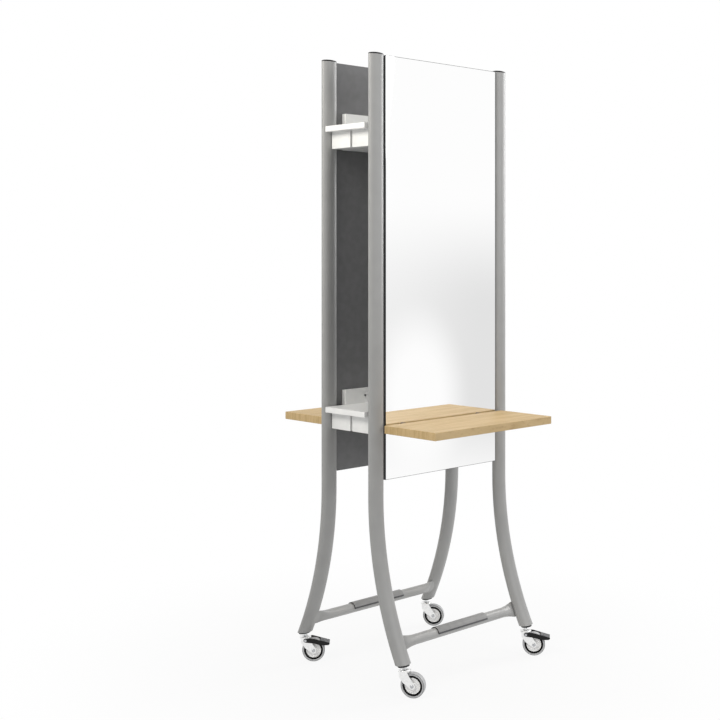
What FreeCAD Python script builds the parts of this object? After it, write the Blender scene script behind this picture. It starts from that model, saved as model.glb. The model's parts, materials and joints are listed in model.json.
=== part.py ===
"""Double sided salon station on castors: a parametric assembly in millimetres.

Frame: +X runs along the mirrors, the front mirror faces -Y, +Z is up.
The origin lies on the floor, below the middle of the whole outline. The four posts stand
round a point a little to its left, because a brake pedal sticks out on the right.
"""
import FreeCAD, Part
import math
import os
import re
import Sketcher

V = FreeCAD.Vector
doc = FreeCAD.newDocument("SalonStation")

# ---------------------------------------------------------------- sizes
SIZES = (
    # posts: oval steel tube, upright above and curved outwards below
    ("post_spacing", 590, "between post axes along the mirrors"),
    ("post_top", 1972, "height of the tube tops"),
    ("post_wide", 60, "oval tube, along X"),
    ("post_deep", 30, "oval tube, along Y"),
    ("post_wall", 2, "tube wall"),
    ("bend_start", 592, "height where the leg starts to curve"),
    ("bend_radius", 1085, "radius of the leg's centre line"),
    ("cap_rim", 2, "straight rim of the post cap"),
    ("cap_dome", 5, "rise of the post cap's dome"),
    ("spigot_length", 14, "how far a cap's spigot reaches in"),
    ("plug_reveal", 6, "round flange of the leg plug below the tube's cut"),
    ("plug_height", 45, "leg plug, overall"),
    ("plug_flange", 14, "radius of the leg plug's flange"),
    ("fit_gap", 0.1, "push fit between plastic and tube"),
    # cross beams, decks and mirror rails
    ("beam_slot", 10, "gap between the two beams of a pair"),
    ("beam_width", 86, "beam section, along Y"),
    ("beam_height", 54, "beam section, along Z"),
    ("beam_wall", 2, "beam wall"),
    ("beam_corner", 5, "outer corner radius of a beam"),
    ("beam_overhang", 1, "beam end past the post axis"),
    ("end_cap", 3, "plate of a beam end cap"),
    ("spacer_length", 3, "between a beam and a post"),
    ("spacer_radius", 9, "spacer between a beam and a post"),
    ("bolt_inset", 8, "frame bolt, inwards from the post axis"),
    ("bolt_radius", 4, "frame bolt shank"),
    ("bolt_length", 16, "frame bolt shank length"),
    ("bolt_head_radius", 6.5, "frame bolt head"),
    ("bolt_head_height", 5, "frame bolt head"),
    ("hole_gap", 0.2, "clearance of a screw hole, on the radius"),
    ("deck_upper", 1760, "height of the upper deck's top"),
    ("deck_lower", 857, "height of the lower deck's top"),
    ("deck_thickness", 18, "white deck board"),
    ("deck_overhang", 33, "deck end past the post axis"),
    ("deck_edge", 1.5, "rounding of the deck board's edges"),
    ("deck_screw_inset", 150, "deck screw, inwards from the post axis"),
    ("deck_screw_bite", 12, "thread inside the deck"),
    ("screw_radius", 2.5, "shank of a deck or rail screw"),
    ("screw_head_radius", 4.5, "head of a deck or rail screw"),
    ("screw_head_height", 2.5, "head of a deck or rail screw"),
    ("rail_thickness", 18, "board that carries the mirror"),
    ("rail_rise", 47, "rail above the deck's top"),
    ("rail_inset", 57, "rail end, inwards from the post axis"),
    ("rail_screw_inset", 88, "rail screw, inwards from the rail end"),
    ("rail_screw_length", 22, "rail screw, overall"),
    # mirrors
    ("mirror_gap", 1.5, "between a mirror edge and a post"),
    ("glass_thickness", 5, "silvered glass"),
    ("glass_bevel", 1, "polished edge of the glass"),
    ("backing_thickness", 6, "dark backing board"),
    ("panel_bottom", 641, "height of the mirror's lower edge"),
    # oak shelves on hidden rods
    ("shelf_inset", 15, "shelf end, inwards from the post axis"),
    ("shelf_depth", 217, "shelf, along Y"),
    ("shelf_thickness", 25, "oak board"),
    ("shelf_edge", 2, "rounding of the oak board's edges"),
    ("shelf_standoff", 11, "between the glass and the shelf"),
    ("rod_rise", 16.5, "rod axis above the lower beam's underside"),
    ("rod_radius", 6, "hidden shelf rod"),
    ("rod_inset", 100, "rod, inwards from the shelf end"),
    ("rod_grip", 120, "rod inside the shelf"),
    ("sleeve_radius", 12, "sleeve between glass and shelf"),
    # footrests
    ("bar_height", 147.5, "axis of a footrest bar"),
    ("bar_inset", 11, "bar axis behind the leg's centre line, towards the middle"),
    ("bar_radius", 16, "footrest tube"),
    ("bar_wall", 2, "footrest tube wall"),
    ("flare_length", 60, "flattened end of a footrest tube"),
    ("flare_spread", 9, "growth of the flattened end along the leg"),
    ("flare_pinch", 11.5, "narrowing of the flattened end across the leg"),
    ("pad_thickness", 3.5, "rubber tread on the footrest"),
    ("pad_length", 233, "rubber tread, along X"),
    # castors
    ("wheel_radius", 37.5, "over the tyre"),
    ("tyre_width", 24, "tyre, along the axle"),
    ("tyre_bore", 30.8, "inner radius of the tyre"),
    ("tyre_round", 5, "rounding of the tread's shoulders"),
    ("hub_width", 27, "wheel hub, along the axle"),
    ("hub_radius", 9, "wheel hub"),
    ("web_width", 14, "wheel disc, along the axle"),
    ("rim_width", 21, "wheel rim, along the axle"),
    ("rim_wall", 5, "wheel rim"),
    ("axle_radius", 4, "wheel axle"),
    ("axle_head_radius", 6, "riveted axle head"),
    ("axle_head_height", 3.5, "riveted axle head"),
    ("running_gap", 0.05, "radial play of a turning fit"),
    ("side_gap", 1, "between the hub and the fork"),
    ("trail", 27, "axle behind the swivel axis"),
    ("castor_inset", 4.5, "swivel axis, inwards from the post axis along the mirrors"),
    ("fork_steel", 2.5, "pressed steel of the fork"),
    ("fork_plate_radius", 19, "top plate of the fork"),
    ("fork_boss_radius", 9.5, "fork end around the axle"),
    ("fork_back", 14, "fork arm's edge behind the swivel axis"),
    ("fork_front", 12, "fork arm's edge before the swivel axis"),
    ("fork_shoulder", 18, "straight rear edge of a fork arm"),
    ("fork_knee", 35, "fork arm's lower edge at the swivel axis, from the top"),
    ("fork_slope_low", 36, "lower edge of a fork arm, from level"),
    ("fork_slope_high", 52, "upper edge of a fork arm, from level"),
    ("fork_headroom", 2.5, "between the tyre and the fork's plate"),
    ("pivot_radius", 4, "swivel pin through the fork's plate"),
    ("pivot_head_radius", 7, "riveted end of the swivel pin"),
    ("pivot_head_height", 2, "riveted end of the swivel pin"),
    ("swivel_gap", 0.3, "play above and below the fork's plate"),
    ("collar_radius", 6, "stem collar under the leg plug"),
    ("collar_height", 12.2, "stem collar under the leg plug"),
    ("stem_radius", 5, "stem inside the leg plug"),
    ("stem_length", 15, "stem inside the leg plug"),
    ("turn_rear_left", -43.5, "swivel angle of this castor"),
    ("turn_front_left", -62, "swivel angle of this castor"),
    ("turn_front_right", -51, "swivel angle of this castor"),
    ("turn_rear_right", -54, "swivel angle of this castor"),
    # brake pedals
    ("pedal_pivot_drop", 6.5, "pedal pin below the fork's plate"),
    ("pedal_pin_radius", 3, "pedal pin"),
    ("pedal_pin_head", 4.5, "riveted head of the pedal pin"),
    ("pedal_pin_head_height", 1.3, "riveted head of the pedal pin"),
    ("pedal_boss_radius", 6.5, "pedal cheek around the pin"),
    ("pedal_cheek", 3, "pedal cheek"),
    ("pedal_side_gap", 0.6, "between the pedal and the fork"),
    ("pedal_pin_gap", 0.3, "between a pin head and the pedal"),
    ("pedal_reach", 81, "pedal tip from the pin"),
    ("pedal_crown", 24, "highest point of the pedal, from the pin"),
    ("pedal_crown_rise", 7, "highest point above the pin"),
    ("pedal_tip_drop", 7.5, "upper edge of the tip below the pin"),
    ("pedal_tip_height", 6, "thickness of the tip"),
    ("pedal_belly_start", 53, "level underside of the tread, from the pin"),
    ("pedal_belly_end", 71, "level underside of the tread, from the pin"),
    ("pedal_belly_drop", 15.5, "underside of the tread below the pin"),
    ("pedal_waist", 27, "bend of the cheek's lower edge, from the pin"),
    ("pedal_waist_drop", 9, "bend of the cheek's lower edge below the pin"),
    ("tread_start", 48, "tread block, from the pin"),
    ("brake_gap", 0.6, "between the tread block and the tyre"),
)
sheet = doc.addObject("Spreadsheet::Sheet", "Sizes")
for row, (alias, value, note) in enumerate(SIZES, start=1):
    sheet.set(f"A{row}", alias)
    sheet.set(f"B{row}", str(value))
    sheet.set(f"C{row}", note)
    sheet.setAlias(f"B{row}", alias)
doc.recompute()

ALIAS = re.compile(r"\b(" + "|".join(alias for alias, value, note in SIZES) + r")\b")

# expressions for places that several pieces share, worked out from the sizes above
POST_X = "(post_spacing / 2)"
BEAM_IN = "(beam_slot / 2)"
BEAM_OUT = "(beam_slot / 2 + beam_width)"
RAIL_OUT = f"({BEAM_OUT} + rail_thickness)"
BACKING_OUT = f"({RAIL_OUT} + backing_thickness)"
GLASS_OUT = f"({BACKING_OUT} + glass_thickness)"
SHELF_IN = f"({GLASS_OUT} + shelf_standoff)"
POST_Y = f"({BEAM_OUT} + spacer_length + post_deep / 2)"
PLATE_Z = "(2 * wheel_radius + fork_headroom)"
COLLAR_Z = f"({PLATE_Z} + fork_steel + swivel_gap)"
PLUG_Z = f"({COLLAR_Z} + collar_height)"
LEG_CUT = f"({PLUG_Z} + plug_reveal)"
BEAM_HALF = f"({POST_X} + beam_overhang)"
RAIL_HALF = f"({POST_X} - rail_inset)"
SHELF_HALF = f"({POST_X} - shelf_inset)"
ROD_X = f"({SHELF_HALF} - rod_inset)"
ROD_Z = "(deck_lower - deck_thickness - beam_height + rod_rise)"
FORK_HALF = "(hub_width / 2 + side_gap + fork_steel)"
PEDAL_IN = f"({FORK_HALF} + pedal_side_gap)"
PEDAL_OUT = f"({PEDAL_IN} + pedal_cheek)"
PEDAL_Z = f"({PLATE_Z} - pedal_pivot_drop)"

LEVELS = ("upper", "lower")
SIDES = (("front", 0), ("rear", 180))
CORNERS = (
    ("rear_left", -1, 1, True),
    ("front_left", -1, -1, False),
    ("front_right", 1, -1, True),
    ("rear_right", 1, 1, False),
)
UP = V(0, 0, 1)
NODES = []


def swing(height):
    """How far the leg's centre line has curved outwards at a height."""
    return f"(bend_radius - sqrt(bend_radius^2 - (bend_start - {height})^2))"


LEG_Y = f"({POST_Y} + {swing(PLUG_Z)})"
BAR_Y = f"({POST_Y} + {swing('bar_height')} - bar_inset)"
BAR_TILT = "asin((bend_start - bar_height) / bend_radius)"
# the front right brake pedal reaches furthest along X, and the origin halves the whole length
PEDAL_TIP = f"(pedal_reach * cos(turn_front_right) - {PEDAL_OUT} * sin(turn_front_right))"
CENTRE_X = f"((deck_overhang + castor_inset - {PEDAL_TIP}) / 2)"


# ---------------------------------------------------------------- helpers
def formula(text):
    """An expression over the sheet's cells."""
    return ALIAS.sub(r"Sizes.\1", str(text))


def bind(item, name, text):
    item.setExpression(name, formula(text))


TURN_AXES = {"X": "1; 0; 0", "Y": "0; 1; 0", "Z": "0; 0; 1", "XYZ": "1; 1; 1"}


def place(item, x="0", y="0", z="0", *turns):
    """Placement from expressions: turns act in reverse order, then the shift."""
    spins = [f"rotation(vector({TURN_AXES[axis]}); {angle})" for axis, angle in turns]
    whole = " * ".join(spins) or "rotation(vector(0; 0; 1); 0)"
    bind(item, "Placement", f"placement(vector({x}; {y}; {z}); {whole})")
    return item


def node(item, label, x="0", y="0", *turns):
    """Name a finished piece and put it in the part's frame."""
    item.Label = label
    place(item, f"{CENTRE_X} + {x}", y, "0", *turns)
    NODES.append(item)
    return item


def box(x, y, z, length, width, height):
    """Block from its lowest corner."""
    item = doc.addObject("Part::Box", "Block")
    bind(item, "Length", length)
    bind(item, "Width", width)
    bind(item, "Height", height)
    return place(item, x, y, z)


ALONG = {"X": ("Y", 90), "Y": ("X", -90), "Z": ("Z", 0)}


def rod(along, x, y, z, radius, length):
    """Cylinder from its start point towards +X, +Y or +Z."""
    item = doc.addObject("Part::Cylinder", "Rod")
    bind(item, "Radius", radius)
    bind(item, "Height", length)
    return place(item, x, y, z, ALONG[along])


def oval(major, minor, x="0", y="0", z="0", *turns):
    item = doc.addObject("Part::Ellipse", "Oval")
    bind(item, "MajorRadius", major)
    bind(item, "MinorRadius", minor)
    return place(item, x, y, z, *turns)


def extrude(profile, length):
    item = doc.addObject("Part::Extrusion", "Extrusion")
    item.Base = profile
    item.DirMode = "Custom"
    item.Dir = UP
    item.Solid = True
    bind(item, "LengthFwd", length)
    return item


def join(*items):
    fuse = doc.addObject("Part::MultiFuse", "Fusion")
    fuse.Shapes = list(items)
    return fuse


def cut(base, *tools):
    item = doc.addObject("Part::Cut", "Cut")
    item.Base = base
    item.Tool = tools[0] if len(tools) == 1 else join(*tools)
    return item


def common(first, second):
    item = doc.addObject("Part::Common", "Common")
    item.Base = first
    item.Tool = second
    return item


def group(items):
    """Several loose solids in one piece of the assembly."""
    item = doc.addObject("Part::Compound", "Group")
    item.Links = list(items)
    return item


def new_body(name="Body"):
    return doc.addObject("PartDesign::Body", name)


def sketch_on(body, role, offset="0"):
    sketch = body.newObject("Sketcher::SketchObject", "Sketch")
    plane = next(f for f in body.Origin.OriginFeatures if f.Role == role)
    sketch.AttachmentSupport = (plane, [""])
    sketch.MapMode = "FlatFace"
    if offset != "0":
        bind(sketch, "AttachmentOffset.Base.z", offset)
    return sketch


def pin_point(sketch, geometry, position, name, x, y):
    """Fix one point of a sketch at two expressions."""
    for letter, text in (("X", x), ("Y", y)):
        if text == "0":
            axis = -2 if letter == "X" else -1
            sketch.addConstraint(Sketcher.Constraint("PointOnObject", geometry, position, axis))
            continue
        rule = Sketcher.Constraint(f"Distance{letter}", -1, 1, geometry, position, 1.0)
        index = sketch.addConstraint(rule)
        sketch.renameConstraint(index, f"{name}{letter}")
        bind(sketch, f"Constraints.{name}{letter}", text)


def polygon(sketch, points):
    """Closed outline through points given as pairs of expressions."""
    count = len(points)
    ring = [
        V(math.cos(2 * math.pi * i / count), math.sin(2 * math.pi * i / count), 0) * 20
        for i in range(count)
    ]
    first = sketch.GeometryCount
    for i in range(count):
        sketch.addGeometry(Part.LineSegment(ring[i], ring[(i + 1) % count]), False)
    for i in range(count):
        here, after = first + i, first + (i + 1) % count
        sketch.addConstraint(Sketcher.Constraint("Coincident", here, 2, after, 1))
    for i, (x, y) in enumerate(points):
        pin_point(sketch, first + i, 1, f"p{first + i}", x, y)


def rectangle(sketch, x0, x1, y0, y1):
    polygon(sketch, ((x0, y0), (x1, y0), (x1, y1), (x0, y1)))


def circle(sketch, x, y, radius):
    index = sketch.addGeometry(Part.Circle(V(5, 5, 0), UP, 3), False)
    pin_point(sketch, index, 3, f"c{index}", x, y)
    rule = sketch.addConstraint(Sketcher.Constraint("Radius", index, 3))
    sketch.renameConstraint(rule, f"r{index}")
    bind(sketch, f"Constraints.r{index}", radius)


def axis_line(sketch, x):
    """Construction line parallel to the sketch's vertical axis."""
    index = sketch.addGeometry(Part.LineSegment(V(1, 0, 0), V(1, 30, 0)), True)
    pin_point(sketch, index, 1, f"a{index}", x, "0")
    sketch.addConstraint(Sketcher.Constraint("Vertical", index))
    sketch.addConstraint(Sketcher.Constraint("Distance", index, 30))


def pad(body, sketch, length, midplane=False):
    item = body.newObject("PartDesign::Pad", "Pad")
    item.Profile = sketch
    item.Midplane = midplane
    bind(item, "Length", length)
    return item


def revolve(body, sketch):
    item = body.newObject("PartDesign::Revolution", "Revolution")
    item.Profile = sketch
    item.ReferenceAxis = (sketch, ["Axis0"])
    item.Angle = 360
    return item


def dress(body, kind, value, chosen):
    """Fillet or chamfer the tip's edges that pass a test."""
    doc.recompute()
    base = body.Tip
    names = [f"Edge{i}" for i, edge in enumerate(base.Shape.Edges, start=1) if chosen(edge)]
    item = body.newObject(f"PartDesign::{kind}", kind)
    item.Base = (base, names)
    bind(item, "Radius" if kind == "Fillet" else "Size", value)
    return item


def runs_along(axis):
    """Test for straight edges parallel to an axis."""
    def test(edge):
        return edge.Curve.TypeId == "Part::GeomLine" and abs(edge.tangentAt(0).dot(axis)) > 0.999
    return test


# ---------------------------------------------------------------- posts and legs
def leg_oval(inset):
    """Post tube's outline, drawn in by an inset on every side."""
    return f"post_wide / 2 - {inset}", f"post_deep / 2 - {inset}"


def straight_oval(inset, bottom, top):
    """Upright oval bar of the post's section."""
    major, minor = leg_oval(inset)
    return extrude(oval(major, minor, "0", "0", bottom), f"{top} - {bottom}")


def curved_oval(inset):
    """Curved oval bar: the leg bends towards -Y, and reaches below its plug."""
    major, minor = leg_oval(inset)
    item = doc.addObject("Part::Revolution", "Bend")
    item.Source = oval(major, minor, "0", "0", "bend_start")
    item.Axis = V(-1, 0, 0)
    item.Solid = True
    bind(item, "Base.y", "-bend_radius")
    bind(item, "Base.z", "bend_start")
    bind(item, "Angle", f"asin((bend_start - {PLUG_Z} + post_deep / 2) / bend_radius)")
    return item


def leg_room(bottom, top):
    """Block round the whole leg between two heights."""
    reach = f"(post_wide + {swing(PLUG_Z)} + post_deep)"
    sizes = ("2 * post_wide", f"{reach} + post_wide", f"{top} - {bottom}")
    return box("-post_wide", f"-{reach}", bottom, *sizes)


def post(bolt_x):
    outer = join(straight_oval("0", "bend_start", "post_top"), curved_oval("0"))
    inner = join(straight_oval("post_wall", "bend_start", "post_top"), curved_oval("post_wall"))
    below = leg_room("0", LEG_CUT)
    holes = [
        rod("Y", bolt_x, "0", beam_middle(level), "bolt_radius + hole_gap", "post_deep")
        for level in LEVELS
    ]
    return cut(outer, inner, below, *holes)


def beam_middle(level):
    return f"(deck_{level} - deck_thickness - beam_height / 2)"


def post_cap():
    dome = doc.addObject("Part::Ellipsoid", "Dome")
    bind(dome, "Radius1", "cap_dome")
    bind(dome, "Radius2", "post_wide / 2")
    bind(dome, "Radius3", "post_deep / 2")
    dome.Angle1 = 0
    place(dome, "0", "0", "post_top + cap_rim")
    rim = straight_oval("0", "post_top", "(post_top + cap_rim)")
    spigot = straight_oval("(post_wall + fit_gap)", "(post_top - spigot_length)", "post_top")
    return join(dome, rim, spigot)


def leg_plug(stem_x):
    """Plug that fills the leg's end, with a round flange under it and a bore for the stem."""
    core = common(curved_oval("(post_wall + fit_gap)"), leg_room(LEG_CUT, f"({PLUG_Z} + plug_height)"))
    spot = ("Z", stem_x, f"-{swing(PLUG_Z)}", PLUG_Z)
    flange = rod(*spot, "plug_flange", "plug_reveal")
    bore = rod(*spot, "stem_radius + fit_gap", "stem_length + fit_gap")
    return cut(join(core, flange), bore)


for corner, side_x, side_y, braked in CORNERS:
    turn = ("Z", 0 if side_y < 0 else 180)
    spot = (f"{side_x} * {POST_X}", f"{side_y} * {POST_Y}", turn)
    node(post(f"{side_x * side_y} * bolt_inset"), f"post_{corner}", *spot)
    node(post_cap(), f"post_cap_{corner}", *spot)
    node(leg_plug(f"{side_x * side_y} * castor_inset"), f"leg_plug_{corner}", *spot)


# ---------------------------------------------------------------- footrests
FLARE_STEPS = 4


def flare(sign, inset):
    """Flattened end of a footrest tube, from the round tube into the leg, drawn in by an inset."""
    sections = []
    for step in range(FLARE_STEPS + 2):
        part = min(step / FLARE_STEPS, 1)
        start = f"({POST_X} - post_wide / 2 - flare_length)"
        x = f"{start} + flare_length * {part}" if step <= FLARE_STEPS else f"{POST_X} + {inset}"
        major = f"bar_radius + flare_spread * {part ** 2} - {inset}"
        minor = f"bar_radius - flare_pinch * {part ** 2} - {inset}"
        lean = ("X", f"-{BAR_TILT}")
        sections.append(oval(major, minor, f"{sign} * ({x})", f"-{BAR_Y}", "bar_height", lean, ("Y", 90)))
    loft = doc.addObject("Part::Loft", "Flare")
    loft.Sections = sections
    loft.Ruled = True
    loft.Solid = True
    return loft


def footrest_bar():
    """Front bar: tube and two flattened ends, hollow, fitted to the outside of both legs."""
    half = f"({POST_X} - post_wide / 2 - flare_length)"
    outer, inner = [
        join(
            rod("X", f"-{half}", f"-{BAR_Y}", "bar_height", f"bar_radius - {inset}", f"2 * {half}"),
            flare(-1, inset), flare(1, inset),
        )
        for inset in ("0", "bar_wall")
    ]
    legs = [
        place(curved_oval("0"), f"{sign} * {POST_X}", f"-{POST_Y}")
        for sign in (-1, 1)
    ]
    return cut(cut(outer, inner), *legs)


def footrest_pad():
    """Half round tread that clips over the top of the front bar."""
    shells = []
    for radius in ("bar_radius + pad_thickness", "bar_radius + fit_gap"):
        shell = doc.addObject("Part::Cylinder", "HalfRound")
        shell.Angle = 180
        bind(shell, "Radius", radius)
        bind(shell, "Height", "pad_length")
        shells.append(place(shell, "(-pad_length / 2)", f"-{BAR_Y}", "bar_height", ("XYZ", 120)))
    return cut(*shells)


for side, angle in SIDES:
    node(footrest_bar(), f"footrest_bar_{side}", "0", "0", ("Z", angle))
    node(footrest_pad(), f"footrest_pad_{side}", "0", "0", ("Z", angle))


# ---------------------------------------------------------------- beams and decks
def both(x):
    return (f"-{x}", x)


def rods_out(x, z, radius, start, end):
    """Front rods along Y between two distances from the mid-plane, at -x and at +x."""
    return [rod("Y", side_x, f"-{end}", z, radius, f"{end} - {start}") for side_x in both(x)]


RAIL_SCREW_X = f"({RAIL_HALF} - rail_screw_inset)"
DECK_SCREW_X = f"({POST_X} - deck_screw_inset)"
BOLT_X = f"({POST_X} - bolt_inset)"
BEAM_MID = f"({BEAM_IN} + beam_width / 2)"


def beam_prism(level, half_length, inset):
    """Rounded front beam section, drawn in by an inset, about the middle of the length."""
    body = new_body("Beam")
    sketch = sketch_on(body, "YZ_Plane")
    top = f"deck_{level} - deck_thickness"
    rectangle(
        sketch,
        f"-{BEAM_OUT} + {inset}", f"-{BEAM_IN} - {inset}",
        f"{top} - beam_height + {inset}", f"{top} - {inset}",
    )
    pad(body, sketch, f"2 * {half_length}", True)
    dress(body, "Fillet", f"beam_corner - {inset}", runs_along(V(1, 0, 0)))
    return body


def beam(level):
    middle = beam_middle(level)
    tools = [beam_prism(level, BEAM_HALF, "beam_wall")]
    tools += rods_out(BOLT_X, middle, "bolt_radius + hole_gap", BEAM_MID, BEAM_OUT)
    tools += rods_out(RAIL_SCREW_X, middle, "screw_radius + hole_gap", BEAM_MID, BEAM_OUT)
    if level == "lower":
        tools += rods_out(ROD_X, ROD_Z, "rod_radius + fit_gap", BEAM_MID, BEAM_OUT)
    for side_x in both(DECK_SCREW_X):
        bottom = f"(deck_{level} - deck_thickness - beam_height)"
        tools.append(rod("Z", side_x, f"-{BEAM_MID}", bottom, "screw_radius + hole_gap", "beam_height"))
    return cut(beam_prism(level, BEAM_HALF, "0"), *tools)


def end_caps(level):
    """Two plates that close the front beam's ends."""
    whole = beam_prism(level, f"({BEAM_HALF} + end_cap)", "0")
    middle = box(f"-{BEAM_HALF}", f"-{BEAM_OUT}", f"{beam_middle(level)} - beam_height",
                 f"2 * {BEAM_HALF}", "beam_width", "2 * beam_height")
    return cut(whole, middle)


def deck(level):
    body = new_body("Deck")
    sketch = sketch_on(body, "XY_Plane", f"deck_{level} - deck_thickness")
    half = f"({POST_X} + deck_overhang)"
    rectangle(sketch, f"-{half}", half, f"-{BEAM_OUT}", BEAM_OUT)
    pad(body, sketch, "deck_thickness")
    dress(body, "Fillet", "deck_edge", lambda edge: True)
    underside = f"(deck_{level} - deck_thickness)"
    holes = [
        rod("Z", side_x, side_y, underside, "screw_radius", "deck_screw_bite")
        for side_x in both(DECK_SCREW_X) for side_y in both(BEAM_MID)
    ]
    return cut(body, *holes)


def turned(items, angle):
    """Loose solids of the front, turned about the middle of the station."""
    return place(group(items), "0", "0", "0", ("Z", angle))


for level in LEVELS:
    for side, angle in SIDES:
        node(beam(level), f"beam_{level}_{side}", "0", "0", ("Z", angle))
    node(deck(level), f"deck_{level}")
node(group([
    turned([end_caps(level) for level in LEVELS], angle) for side, angle in SIDES
]), "beam_end_caps")


def screw(x, y, z, shank_radius, head_radius, head_height, length, *turns):
    """Fastener from the outer face of its head; it points up until it is turned."""
    shank = rod("Z", "0", "0", "0", shank_radius, length)
    head = rod("Z", "0", "0", "0", head_radius, head_height)
    return place(join(shank, head), x, y, z, *turns)


INWARDS = ("X", -90)
OUTWARDS = ("X", 90)
SCREW = ("screw_radius", "screw_head_radius", "screw_head_height")
RAIL_TOP_MID = "(deck_{} + rail_rise / 2)"


def rail_screws(level):
    """Front rail: two screws into the beam, and two from behind into the backing board."""
    return [
        screw(x, y, z, *SCREW, "rail_screw_length", turn)
        for y, z, turn in (
            (f"-{RAIL_OUT}", beam_middle(level), INWARDS),
            (f"-{BEAM_OUT}", RAIL_TOP_MID.format(level), OUTWARDS),
        )
        for x in both(RAIL_SCREW_X)
    ]


def deck_screws(level):
    """Two screws up through the front beam into the deck."""
    start = f"(deck_{level} - deck_thickness - beam_height - screw_head_height)"
    length = "screw_head_height + beam_height + deck_screw_bite"
    return [screw(x, f"-{BEAM_MID}", start, *SCREW, length) for x in both(DECK_SCREW_X)]


def frame_bolts(level):
    """Bolts from inside the front beam into both posts."""
    start = f"-({BEAM_OUT} - beam_wall - bolt_head_height)"
    sizes = ("bolt_radius", "bolt_head_radius", "bolt_head_height", "bolt_head_height + bolt_length")
    return [screw(x, start, beam_middle(level), *sizes, OUTWARDS) for x in both(BOLT_X)]


def frame_spacers(level):
    """Discs between the front beam and both posts, shaped to the oval tube."""
    middle = beam_middle(level)
    discs = group(rods_out(BOLT_X, middle, "spacer_radius", BEAM_OUT, POST_Y))
    bores = rods_out(BOLT_X, middle, "bolt_radius + hole_gap", BEAM_OUT, POST_Y)
    posts = [
        place(straight_oval("0", f"({middle} - beam_height)", f"({middle} + beam_height)"),
              f"{sign} * {POST_X}", f"-{POST_Y}")
        for sign in (-1, 1)
    ]
    return cut(discs, *bores, *posts)


for maker in (deck_screws, frame_bolts, rail_screws):
    node(group([
        turned([piece for level in LEVELS for piece in maker(level)], angle) for side, angle in SIDES
    ]), maker.__name__)
node(group([
    turned([frame_spacers(level) for level in LEVELS], angle) for side, angle in SIDES
]), "frame_spacers")


# ---------------------------------------------------------------- rails, mirrors and shelves
MIRROR_HALF = f"({POST_X} - post_wide / 2 - mirror_gap)"


def mirror_rail(level):
    """Upright board outside the front beam; the backing board hangs on its outer face."""
    bottom = f"(deck_{level} - deck_thickness - beam_height)"
    board = box(f"-{RAIL_HALF}", f"-{RAIL_OUT}", bottom,
                f"2 * {RAIL_HALF}", "rail_thickness", "beam_height + deck_thickness + rail_rise")
    middle, high = beam_middle(level), RAIL_TOP_MID.format(level)
    shank, sunk_head = "screw_radius + hole_gap", "screw_head_radius + hole_gap"
    tools = rods_out(RAIL_SCREW_X, middle, shank, BEAM_OUT, RAIL_OUT)
    tools += rods_out(RAIL_SCREW_X, middle, sunk_head, f"({RAIL_OUT} - screw_head_height)", RAIL_OUT)
    tools += rods_out(RAIL_SCREW_X, high, shank, BEAM_OUT, RAIL_OUT)
    tools += rods_out(RAIL_SCREW_X, high, sunk_head, BEAM_OUT, f"({BEAM_OUT} + screw_head_height)")
    if level == "lower":
        tools += rods_out(ROD_X, ROD_Z, "rod_radius + fit_gap", BEAM_OUT, RAIL_OUT)
    return cut(board, *tools)


def mirror_backing():
    board = box(f"-{MIRROR_HALF}", f"-{BACKING_OUT}", "panel_bottom",
                f"2 * {MIRROR_HALF}", "backing_thickness", "post_top - panel_bottom")
    tools = rods_out(ROD_X, ROD_Z, "rod_radius + fit_gap", RAIL_OUT, BACKING_OUT)
    for level in LEVELS:
        tip = f"({BEAM_OUT} + rail_screw_length)"
        tools += rods_out(RAIL_SCREW_X, RAIL_TOP_MID.format(level), "screw_radius", RAIL_OUT, tip)
    return cut(board, *tools)


def mirror_glass():
    body = new_body("Glass")
    sketch = sketch_on(body, "XZ_Plane", BACKING_OUT)
    rectangle(sketch, f"-{MIRROR_HALF}", MIRROR_HALF, "panel_bottom", "post_top")
    pad(body, sketch, "glass_thickness")
    dress(body, "Chamfer", "glass_bevel", lambda edge: edge.BoundBox.YMax < body.Tip.Shape.BoundBox.Center.y)
    holes = rods_out(ROD_X, ROD_Z, "rod_radius + hole_gap", BACKING_OUT, GLASS_OUT)
    return cut(body, *holes)


def shelf():
    body = new_body("Shelf")
    sketch = sketch_on(body, "XY_Plane", f"{ROD_Z} - shelf_thickness / 2")
    rectangle(sketch, f"-{SHELF_HALF}", SHELF_HALF, f"-{SHELF_IN} - shelf_depth", f"-{SHELF_IN}")
    pad(body, sketch, "shelf_thickness")
    dress(body, "Fillet", "shelf_edge", lambda edge: True)
    bores = rods_out(ROD_X, ROD_Z, "rod_radius + fit_gap", SHELF_IN, f"({SHELF_IN} + rod_grip)")
    return cut(body, *bores)


def shelf_rods():
    """Hidden rods from the front beam's inner wall, through the mirror, into the shelf."""
    return rods_out(ROD_X, ROD_Z, "rod_radius", f"({BEAM_IN} + beam_wall)", f"({SHELF_IN} + rod_grip)")


def shelf_sleeves():
    sleeves = rods_out(ROD_X, ROD_Z, "sleeve_radius", GLASS_OUT, SHELF_IN)
    bores = rods_out(ROD_X, ROD_Z, "rod_radius + fit_gap", GLASS_OUT, SHELF_IN)
    return [cut(group(sleeves), *bores)]


for side, angle in SIDES:
    half_turn = ("Z", angle)
    for level in LEVELS:
        node(mirror_rail(level), f"mirror_rail_{level}_{side}", "0", "0", half_turn)
    node(mirror_backing(), f"mirror_backing_{side}", "0", "0", half_turn)
    node(mirror_glass(), f"mirror_glass_{side}", "0", "0", half_turn)
    node(shelf(), f"shelf_{side}", "0", "0", half_turn)
for maker in (shelf_rods, shelf_sleeves):
    node(group([turned(maker(), angle) for side, angle in SIDES]), maker.__name__)


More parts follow.
